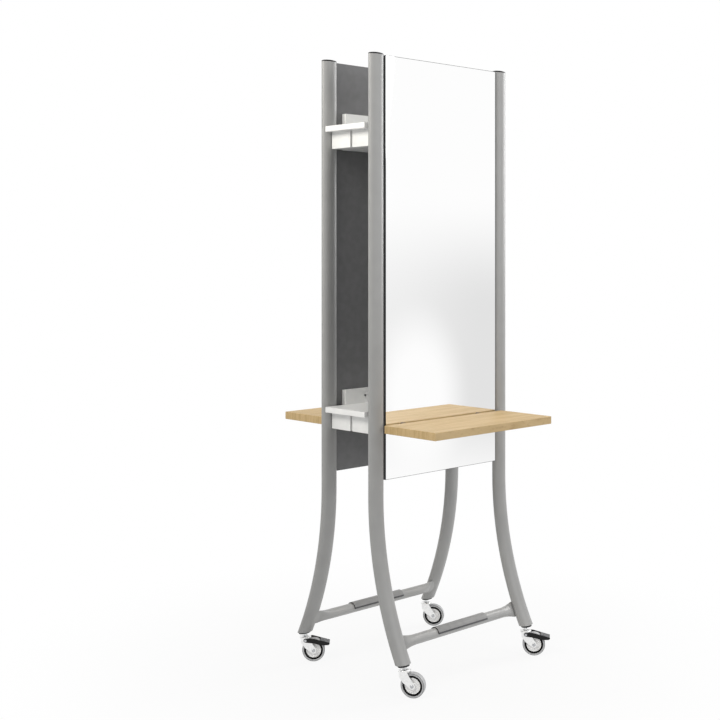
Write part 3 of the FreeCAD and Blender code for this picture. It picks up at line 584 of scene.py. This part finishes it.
TREAD_INNER = 16.1
TREAD_OUTER = 19.5
TREAD_FOOT = 4
TREAD_STEPS = 40
TREAD_ROUNDING = 0.9
# Width of the black painted shadow at each end, and the height below which the lower edges take painted
# shade.
END_SHADOW_BAND = 2.2
LIP_SHADE_HEIGHT = 5.5
BEAD_Z = 1.2
BEAD_SHARE = 0.9
tread_low, tread_high = limits("footrest_pad_front")
TREAD_LENGTH = tread_high.x - tread_low.x
TREAD_SPOT = Matrix.Translation(((tread_high.x + tread_low.x) / 2, BAR_Y, BAR_Z))


def footrest_tread():
    """Half round rubber tread clipped over the top of the tube; its ends carry a painted shadow in black,
    and its lower edges a painted shade in dark grey.

    It stops a few degrees above the tube's middle, in a bead along each long side.
    """
    half = (TREAD_OUTER - TREAD_INNER) / 2
    bead = half * BEAD_SHARE
    outline = arc(0, 0, TREAD_OUTER, TREAD_FOOT, 180 - TREAD_FOOT, TREAD_STEPS)
    outline += arc(-(TREAD_INNER + half), BEAD_Z, bead, 180, 360, 5)
    outline += list(reversed(arc(0, 0, TREAD_INNER, TREAD_FOOT, 180 - TREAD_FOOT, TREAD_STEPS)))
    outline += arc(TREAD_INNER + half, BEAD_Z, bead, 180, 360, 5)
    bm = extruded(outline, -TREAD_LENGTH / 2, TREAD_LENGTH / 2)
    soften(bm, TREAD_ROUNDING, least=60.0, chosen=lambda edge: edge_span(edge, Y) < CLOSE)
    # Painted shadow on the end bands, and painted shade along the lower edges.
    for face in bm.faces:
        middle = face.calc_center_median()
        if abs(middle.y) > TREAD_LENGTH / 2 - END_SHADOW_BAND:
            face.material_index = 2
        elif middle.z < LIP_SHADE_HEIGHT:
            face.material_index = 1
    bmesh.ops.rotate(bm, verts=bm.verts, cent=(0, 0, 0), matrix=Matrix.Rotation(math.pi / 2, 3, "Z"))
    return bm


for side, angle in ((FRONT, 0), (REAR, 180)):
    # The bars take the paler copy of the posts' coat: painted light from above.
    finish(f"footrest_tube_{side}", footrest_tube(), [PAINTED_LIGHT_POWDER], "frame",
           [f"footrest_bar_{side}"], turned(angle) @ BAR_SPOT, sharp=40.0)
    finish(f"footrest_tread_{side}", footrest_tread(), [TREAD_RUBBER, LIP_PAINTED_SHADE, END_PAINTED_SHADOW],
           "frame", [f"footrest_pad_{side}"], turned(angle) @ TREAD_SPOT, sharp=40.0)


# ---------------------------------------------------------------- beams, boards and mirrors
BEAM_ROUNDING = 2.0
PLATE_ROUNDING = 0.9
LONG_EDGE = 100.0
FACES_OUT = 0.99
END_PLATE = limits("beam_end_caps")[1].x - limits("beam_upper_front")[1].x


def board(name, node, finishes, rounding, segments=3, chosen=None):
    """Board or bar in the place of a node, with its edges rounded."""
    low, high = limits(node)
    item = finish(name, block(low, high, rounding, segments, chosen), finishes, "frame", [node])
    even = item.modifiers.new("even_shading", "WEIGHTED_NORMAL")
    even.keep_sharp = True
    return item


def along_beam(edge):
    """Whether an edge runs the length of a beam."""
    return edge_span(edge, X) > LONG_EDGE


def beam_end_plates():
    """Moulded plates that close the ends of the four beams, softly rounded all round."""
    plates = []
    for side in (FRONT, REAR):
        for level in ("upper", "lower"):
            low, high = limits(f"beam_{level}_{side}")
            for near, sign in ((low.x, -1), (high.x, 1)):
                rim = near + sign * END_PLATE
                ends = sorted((near, rim))
                plate = block((ends[0], low.y, low.z), (ends[1], high.y, high.z), BEAM_ROUNDING,
                              chosen=lambda edge: edge_span(edge, X) > CLOSE)
                soften(plate, PLATE_ROUNDING, least=60.0,
                       chosen=lambda edge: all(abs(v.co.x - rim) < CLOSE for v in edge.verts))
                plates.append(plate)
    return merged(*plates)


for level in ("upper", "lower"):
    board(f"deck_board_{level}", f"deck_{level}", [MELAMINE], rounding=1.5)
    for side in (FRONT, REAR):
        board(f"box_beam_{level}_{side}", f"beam_{level}_{side}", [WHITE_POWDER],
              rounding=BEAM_ROUNDING, chosen=along_beam)
        board(f"rail_board_{level}_{side}", f"mirror_rail_{level}_{side}", [MELAMINE],
              rounding=0.8)
finish("beam_end_plates", beam_end_plates(), [END_NYLON], "frame", ["beam_end_caps"])

for side, outward in ((FRONT, -1), (REAR, 1)):
    board(f"backing_board_{side}", f"mirror_backing_{side}", [HARDBOARD], rounding=0.5)
    board(f"oak_shelf_{side}", f"shelf_{side}", [OAK], rounding=2.0)
    glass = board(f"mirror_{side}", f"mirror_glass_{side}", [GLASS_EDGE, SILVER],
                  rounding=1.6, segments=2)
    for face in glass.data.polygons:
        if face.normal.y * outward > FACES_OUT:
            face.material_index = 1


# ---------------------------------------------------------------- castors
TRAIL = 27.0
WHEEL_RADIUS = 37.5
WHEEL_STEPS = 96
PIN_STEPS = 48
PLATE_TOP = 80.0
PLATE_LEAD = -14.0
PLATE_TRAIL = 12.0
LEAD_BULGE = 5.0
TRAIL_BULGE = 7.0
CROWN_STEPS = 14
FORK_OUT = 17.0
FORK_BEND = 3.2
SHEET_STEEL = 2.5
BOSS = 9.5
PIN_Z = 71.0
CHEEK_IN = 17.6
CHEEK_OUT = 20.6
COLLAR_BOTTOM = 80.3
STEM_TOP = COLLAR_TOP + 15.0
JOINTS = {joint["name"]: (Vector(joint["pos_m"]) - CENTRE) / MM for joint in
          frame["record"]["behaviour"]["joints"]}


def castor_place(corner):
    """Matrix of a castor: its swivel axis on the floor, the wheel trailing along +X."""
    axis = JOINTS[f"swivel_{corner}"]
    trailing = JOINTS[f"roll_{corner}"] - axis
    heading = math.degrees(math.atan2(trailing.y, trailing.x))
    return Matrix.Translation((axis.x, axis.y, 0)) @ turned(heading)


AXLE = Matrix.Translation((TRAIL, 0, WHEEL_RADIUS)) @ Matrix.Rotation(math.pi / 2, 4, "X")


NEARLY_STRAIGHT = 160
LARGEST_CUT = 0.45


def eased(points, cut, steps=4):
    """Outline whose corners are rounded off with short curves of a length.

    A corner that is nearly straight stays, and a curve takes less than half of a side.
    """
    result = []
    for index, here in enumerate(points):
        here = Vector(here)
        before = Vector(points[index - 1]) - here
        after = Vector(points[(index + 1) % len(points)]) - here
        if before.angle(after) > math.radians(NEARLY_STRAIGHT):
            result.append(tuple(here))
            continue
        start = here + before.normalized() * min(cut, before.length * LARGEST_CUT)
        end = here + after.normalized() * min(cut, after.length * LARGEST_CUT)
        for step in range(steps + 1):
            t = step / steps
            result.append(tuple(start * (1 - t) ** 2 + here * 2 * t * (1 - t) + end * t ** 2))
    return result


# Radius from which the tyre's shoulder takes painted shade, and radius from which the floor band starts.
SHOULDER_SHADE_FROM = 35.9
BAND_FROM = 37.2


def tyre():
    """Solid tyre with flat sides, rounded shoulders and a flat tread."""
    half = [(31.1, 10.6), (31.6, 11.7), (32.5, 12.0), (35.3, 12.0)]
    half += arc(35.3, 9.8, 2.2, 80, 0, 6)
    return lathe(mirrored_profile(half), WHEEL_STEPS)


def tread_faces(bm):
    """Give the band that runs on the floor its own finish, and the rounded shoulder beside it a darker grey
    as painted shade.
    """
    for face in bm.faces:
        middle = face.calc_center_median()
        radius = math.hypot(middle.x, middle.y)
        if radius > BAND_FROM:
            face.material_index = 2
        elif radius > SHOULDER_SHADE_FROM:
            face.material_index = 1
    return bm


def rim_ring():
    """Black ring between the hub and the tyre."""
    half = [(24.7, 7.1), (24.9, 10.0), (25.4, 10.7), (30.4, 10.9), (31.0, 10.3)]
    return lathe(mirrored_profile(half), WHEEL_STEPS)


def hub():
    """Dished nylon hub with a boss round the axle and a raised circle half way out."""
    half = [(4.05, 13.4), (8.3, 13.4), (9.0, 12.8), (9.5, 8.6), (10.5, 7.4), (12.0, 7.0)]
    half += [(18.2, 7.0), (18.9, 7.9), (20.3, 7.9), (21.0, 7.0), (23.4, 7.0), (24.1, 7.6), (24.6, 9.6)]
    return lathe(mirrored_profile(half), WHEEL_STEPS)


def riveted(shank, head, start, height):
    """Pin with a domed, riveted head and a small dimple on each end."""
    half = [(0, start + height - 0.9), (head * 0.22, start + height - 0.6), (head * 0.4, start + height)]
    half += [(head * 0.72, start + height * 0.82), (head * 0.93, start + height * 0.45), (head, start)]
    half += [(shank, start)]
    return lathe(mirrored_profile(half), PIN_STEPS, closed=False)


def stem():
    """Slim neck under the leg, the stem above it and the swivel pin below."""
    profile = [(0, STEM_TOP), (5, STEM_TOP), (5, COLLAR_TOP), (5.5, COLLAR_TOP), (6, COLLAR_TOP - 0.6)]
    profile += [(6, 87.2), (5.4, 86.8), (5.4, 86.2), (6, 85.8), (6, 80.9), (5.5, COLLAR_BOTTOM)]
    profile += [(4, COLLAR_BOTTOM), (4, 77.2), (7, 77.2), (7, 75.8), (6, 75.2), (0, 75.2)]
    return lathe(profile, PIN_STEPS, closed=False)


def fork():
    """Pressed fork: two arms and the plate over the wheel, one sheet with rounded bends."""
    outline = [(PLATE_LEAD, PLATE_TOP), (PLATE_LEAD, 64.5), (-12.8, 61.0), (-1.6, 46.9), (0.6, 44.6)]
    outline += arc(TRAIL, WHEEL_RADIUS, BOSS, 234, 398, 18)
    outline += [(15.2, 71.2), (12.6, 75.4), (PLATE_TRAIL, 78.0), (PLATE_TRAIL, PLATE_TOP)]
    bm = bmesh.new()
    rows = {side: [bm.verts.new((x, side * FORK_OUT, z)) for x, z in outline] for side in (-1, 1)}
    for row in rows.values():
        bm.faces.new(row)
    trailing, leading = [rows[-1][-1]], [rows[-1][0]]
    for step in range(1, CROWN_STEPS):
        angle = math.pi * step / CROWN_STEPS
        y, bulge = -FORK_OUT * math.cos(angle), math.sin(angle)
        trailing.append(bm.verts.new((PLATE_TRAIL + TRAIL_BULGE * bulge, y, PLATE_TOP)))
        leading.append(bm.verts.new((PLATE_LEAD - LEAD_BULGE * bulge, y, PLATE_TOP)))
    bm.faces.new(trailing + [rows[1][-1], rows[1][0]] + list(reversed(leading)))
    bmesh.ops.recalc_face_normals(bm, faces=bm.faces)
    top = max(bm.faces, key=lambda face: face.calc_center_median().z)
    if top.normal.z < 0:
        bmesh.ops.reverse_faces(bm, faces=bm.faces)
    bends = [e for e in bm.edges if len(e.link_faces) == 2]
    bmesh.ops.bevel(bm, geom=bends, offset=FORK_BEND, offset_type="OFFSET", segments=4, profile=0.5,
                    affect="EDGES", material=-1, clamp_overlap=True)
    bmesh.ops.solidify(bm, geom=bm.faces[:], thickness=SHEET_STEEL)
    return bm


def swivel_race():
    """Raised ring of the ball race on the fork's plate."""
    profile = [(10.7, PLATE_TOP), (10.9, 81.2), (11.5, 81.7), (14.6, 81.7), (15.6, 81.0), (16.2, PLATE_TOP)]
    return lathe(profile)


SHOE_RADIUS = 38.3
CHEEK_EASING = 3.0
CHEEK_ROUNDING = 0.7


def pedal():
    """Two cheeks round the pin, joined by the shoe over the tyre that carries the tread."""
    side = [(-4.4, 75.8), (0.0, 77.5), (24.0, 78.0), (81.0, 63.5), (81.0, 61.0), (77.5, 56.4), (53.0, 55.5)]
    side += [(27.0, 62.0), (0.0, 64.5), (-4.4, 66.2), (-6.5, PIN_Z)]
    side = eased(side, CHEEK_EASING)
    shoe = [(80.2, 60.9), (77.0, 56.6)] + arc(TRAIL, WHEEL_RADIUS, SHOE_RADIUS, 28.2, 55.4, 8)
    shoe += [(49.0, 71.3), (80.2, 63.3)]
    cheeks = [extruded(side, sign * CHEEK_IN, sign * CHEEK_OUT) for sign in (-1, 1)]
    for cheek in cheeks:
        soften(cheek, CHEEK_ROUNDING, segments=2, least=50.0)
    return merged(*cheeks, extruded(shoe, -CHEEK_IN, CHEEK_IN))


# A place on the pedal's sloping top, and how far the top falls over its run.
PEDAL_TOP_X, PEDAL_TOP_Z = 48.0, 71.9
PEDAL_FALL, PEDAL_RUN = 14.5, 57
RIBS = 7
RIB_RISE = 0.9
INSERT_START, INSERT_END = 50.5, 79.5
INSERT_SINK = 0.2
INSERT_GAP = 0.6


def pedal_tread():
    """Ribbed rubber insert in the top of the pedal."""
    pitch = (INSERT_END - INSERT_START) / RIBS
    rib = ((0.06, 0.0), (0.2, RIB_RISE), (0.72, RIB_RISE), (0.86, 0.0))
    points = []
    for index in range(RIBS):
        for share, rise in rib:
            x = INSERT_START + index * pitch + share * pitch
            fall = (x - PEDAL_TOP_X) * PEDAL_FALL / PEDAL_RUN
            points.append((x, PEDAL_TOP_Z - fall + rise - INSERT_SINK))
    points += [(INSERT_END, 60.5), (INSERT_START, 66.5)]
    return extruded(points, -CHEEK_IN + INSERT_GAP, CHEEK_IN - INSERT_GAP)


stems = merged(*[transformed(stem(), castor_place(corner)) for corner in CORNERS])
finish("castor_stem_set", stems, [STEM_STEEL], "frame", ["castor_stems"])
for corner in CORNERS:
    spot = castor_place(corner)
    fork_body, wheel_body = f"fork_{corner}", f"wheel_{corner}"
    finish(f"pressed_fork_{corner}", merged(fork(), swivel_race()), [ZINC], fork_body,
           [f"castor_fork_{corner}"], spot)
    axle = riveted(shank=4.0, head=6.0, start=FORK_OUT, height=3.5)
    finish(f"riveted_axle_{corner}", axle, [RIVET_STEEL], fork_body,
           [f"castor_axle_{corner}"], spot @ AXLE)
    finish(f"castor_tyre_{corner}", tread_faces(tyre()), [TYRE_RUBBER, TYRE_SHOULDER_SHADE, TYRE_BAND],
           wheel_body, [f"wheel_tyre_{corner}"], spot @ AXLE)
    finish(f"castor_hub_{corner}", hub(), [HUB_NYLON], wheel_body,
           [f"wheel_rim_{corner}"], spot @ AXLE)
    finish(f"castor_ring_{corner}", rim_ring(), [RING_NYLON], wheel_body, (), spot @ AXLE)
for corner in BRAKED:
    spot, body = castor_place(corner), f"pedal_{corner}"
    finish(f"foot_pedal_{corner}", pedal(), [PEDAL_NYLON], body, [f"brake_pedal_{corner}"], spot)
    finish(f"pedal_tread_{corner}", pedal_tread(), [PEDAL_TREAD], body, (), spot)


# ---------------------------------------------------------------- pieces kept from the frame
# The fixings keep their solids and only take a finish.
KEPT = (
    ("shelf_rods", ROD_STEEL),
    # The sleeves' dark brown is painted shade.
    ("shelf_sleeves", SLEEVE_PAINTED_SHADE),
    ("frame_spacers", SPACER_NYLON),
    ("frame_bolts", SCREW_STEEL),
    ("rail_screws", SCREW_PAINT),
    ("deck_screws", SCREW_STEEL),
    ("pedal_pin_", RIVET_STEEL),
)
for name, item in frame["nodes"].items():
    for start, material in KEPT:
        if name.startswith(start):
            for slot in item.material_slots:
                slot.material = material


# ---------------------------------------------------------------- studio and camera
# The camera looks level and its lens is shifted, so that upright edges stay parallel.
EYE = CENTRE + Vector((-3.012, -2.906, 1.355))
VIEW = Vector((0.6876, 0.7261, 0))
FOCAL_LENGTH = 62.5
LENS_SHIFT = -0.1499

# The floor's speckle in millimetres, and the share of plain white that it shows by the
# distance from the middle.
FLOOR_RADIUS = 60.0
FLOOR_SPECKLE = 400.0
FLOOR_FADE = {"From Min": 0.3, "From Max": 1.5, "To Min": 0.88}

# The card stands ahead of the reflected camera, and a glare thins it round one place.
CARD_SIZE = (0.92, 2.16)
CARD_AHEAD = 6.4
CARD_ASIDE = 0.41
CARD_DROP = 0.245
CARD_THROUGH = 0.82
GLARE_MIDDLE = (-0.113, -0.5, 0)
GLARE_SCALE = (5.0, 2.6, 0)


def glow(name, place, aim, size, power, tone="FFFFFF", spread=180.0):
    """Soft box that looks at a point; a narrow spread keeps its light off the floor."""
    light = bpy.data.lights.new(name, "AREA")
    light.shape = "RECTANGLE"
    light.size, light.size_y = size
    light.energy = power
    light.spread = math.radians(spread)
    light.color = colour(tone)[:3]
    item = bpy.data.objects.new(name, light)
    item.location = place
    item.rotation_euler = (Vector(aim) - Vector(place)).to_track_quat("-Z", "Y").to_euler()
    bpy.context.scene.collection.objects.link(item)


def looked_at(tree):
    """1 for the rays of the camera and of mirrors, 0 for those that gather light."""
    path = add(tree, "ShaderNodeLightPath").outputs
    seen = add(tree, "ShaderNodeMath", {"operation": "MAXIMUM"},
               {0: path["Is Camera Ray"], 1: path["Is Glossy Ray"]})
    return seen.outputs[0]


def studio_floor():
    """Wide pale floor: it keeps the shadow near the station and fades into the white around it."""
    bm = bmesh.new()
    bmesh.ops.create_circle(bm, cap_ends=True, segments=96, radius=FLOOR_RADIUS)
    mesh = bpy.data.meshes.new("studio_floor")
    bm.to_mesh(mesh)
    bm.free()
    patterns = ((FLOOR_SPECKLE, EVEN, CRISP),)
    material, (speckle,) = new_finish("pale_studio_floor", patterns, Roughness=0.9)
    give_figure(material, tone=(speckle, "E2E2E2", "E6E6E6"))
    tree = material.node_tree
    place = add(tree, "ShaderNodeTexCoord").outputs["Object"]
    away = add(tree, "ShaderNodeVectorMath", {"operation": "LENGTH"}, {0: place})
    fade = add(tree, "ShaderNodeMapRange", FLOOR_FADE, {"Value": away.outputs["Value"]})
    fade.interpolation_type = "SMOOTHSTEP"
    share = add(tree, "ShaderNodeMath", {"operation": "MULTIPLY"},
                {0: fade.outputs["Result"], 1: looked_at(tree)})
    white = add(tree, "ShaderNodeEmission", {"Strength": 1.0})
    shader = tree.nodes["Principled BSDF"]
    mix = add(tree, "ShaderNodeMixShader", {},
              {0: share.outputs[0], 1: shader.outputs[0], 2: white.outputs[0]})
    tree.links.new(mix.outputs[0], tree.nodes["Material Output"].inputs["Surface"])
    mesh.materials.append(material)
    item = bpy.data.objects.new("studio_floor", mesh)
    bpy.context.scene.collection.objects.link(item)


def reflection_card():
    """Grey gauze that only reflections see: it gives the mirror its soft gradient."""
    across, ahead = Vector((VIEW.y, VIEW.x, 0)), Vector((VIEW.x, -VIEW.y, 0))
    bm = bmesh.new()
    bmesh.ops.create_grid(bm, x_segments=1, y_segments=1, size=0.5)
    bmesh.ops.scale(bm, vec=(*CARD_SIZE, 1), verts=bm.verts)
    mesh = bpy.data.meshes.new("reflection_card")
    bm.to_mesh(mesh)
    bm.free()
    material = bpy.data.materials.new("grey_gauze")
    material.use_nodes = True
    tree = material.node_tree
    tree.nodes.clear()
    place = add(tree, "ShaderNodeTexCoord").outputs["Object"]
    split = add(tree, "ShaderNodeSeparateXYZ", {}, {0: place}).outputs
    glare = add(tree, "ShaderNodeVectorMath", {"operation": "SUBTRACT", 1: GLARE_MIDDLE}, {0: place})
    glare = add(tree, "ShaderNodeVectorMath", {"operation": "MULTIPLY", 1: GLARE_SCALE},
                {0: glare.outputs[0]})
    glare = add(tree, "ShaderNodeVectorMath", {"operation": "LENGTH"}, {0: glare.outputs[0]})
    # Each line: what the depth follows, where it starts and ends, and its two values there.
    shares = (
        (split["Y"], 0.55, -0.05, 0.0, 1.0),
        (split["Y"], -0.5, -1.05, 1.0, 0.0),
        (split["X"], -0.26, 0.24, 0.7, 1.25),
        (split["X"], 0.3, 0.46, 1.0, 0.0),
        (split["X"], -0.3, -0.46, 1.0, 0.0),
        (glare.outputs["Value"], 0.5, 1.4, 0.0, 1.0),
    )
    depth = None
    for source, near, far, first, last in shares:
        span = {"From Min": near, "From Max": far, "To Min": first, "To Max": last}
        step = add(tree, "ShaderNodeMapRange", span, {"Value": source})
        step.interpolation_type = "SMOOTHSTEP"
        share = step.outputs["Result"]
        if depth is not None:
            product = add(tree, "ShaderNodeMath", {"operation": "MULTIPLY"}, {0: depth, 1: share})
            share = product.outputs[0]
        depth = share
    clear = add(tree, "ShaderNodeMapRange", {"To Min": 1.0, "To Max": CARD_THROUGH}, {"Value": depth})
    clear.clamp = False
    gauze = add(tree, "ShaderNodeBsdfTransparent", {}, {"Color": clear.outputs["Result"]})
    output = add(tree, "ShaderNodeOutputMaterial")
    tree.links.new(gauze.outputs[0], output.inputs["Surface"])
    mesh.materials.append(material)
    card = bpy.data.objects.new("reflection_card", mesh)
    mirror_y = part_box("mirror_glass_front")[0].y
    seen_from = Vector((EYE.x, 2 * mirror_y - EYE.y, EYE.z))
    middle = seen_from + ahead * CARD_AHEAD + across * CARD_ASIDE - Vector((0, 0, CARD_DROP))
    turn = Matrix((across, (0, 0, 1), ahead)).transposed().to_4x4()
    card.matrix_world = Matrix.Translation(middle) @ turn
    card.visible_camera = False
    card.visible_diffuse = False
    card.visible_shadow = False
    bpy.context.scene.collection.objects.link(card)


def white_surround(strength):
    """World that looks white and lights the station softly."""
    world = bpy.data.worlds.new("white_surround")
    bpy.context.scene.world = world
    world.use_nodes = True
    tree = world.node_tree
    tree.nodes.clear()
    level = add(tree, "ShaderNodeMapRange", {"To Min": strength, "To Max": 1.0},
                {"Value": looked_at(tree)})
    white = add(tree, "ShaderNodeBackground", {"Color": (1, 1, 1, 1)},
                {"Strength": level.outputs["Result"]})
    output = add(tree, "ShaderNodeOutputWorld")
    tree.links.new(white.outputs[0], output.inputs["Surface"])


studio_floor()
reflection_card()
white_surround(strength=0.51)
glow("front_soft_box", place=(1.9, -3.8, 2.2), aim=(0, 0, 1.0), size=(2.2, 2.4), power=30.0)
glow("left_soft_box", place=(-3.2, -0.2, 3.3), aim=(-0.2, 0, 2.2), size=(1.6, 1.6), power=21.0,
     tone="FFFCF5", spread=80.0)
glow("right_soft_box", place=(4.0, -0.8, 2.5), aim=(0, 0, 1.5), size=(1.6, 2.4), power=66.0)
glow("top_soft_box", place=(0.0, 0.0, 4.6), aim=(0, 0, 0), size=(3.0, 3.0), power=30.0)

scene = bpy.context.scene
scene.view_settings.view_transform = "Standard"
scene.view_settings.look = "None"
optics = bpy.data.cameras.new("camera")
optics.sensor_width = 36.0
optics.lens = FOCAL_LENGTH
optics.shift_y = LENS_SHIFT
optics.clip_end = 200.0
camera = bpy.data.objects.new("camera", optics)
camera.location = EYE
camera.rotation_euler = VIEW.to_track_quat("-Z", "Y").to_euler()
scene.collection.objects.link(camera)
scene.camera = camera

bpy.context.view_layer.update()
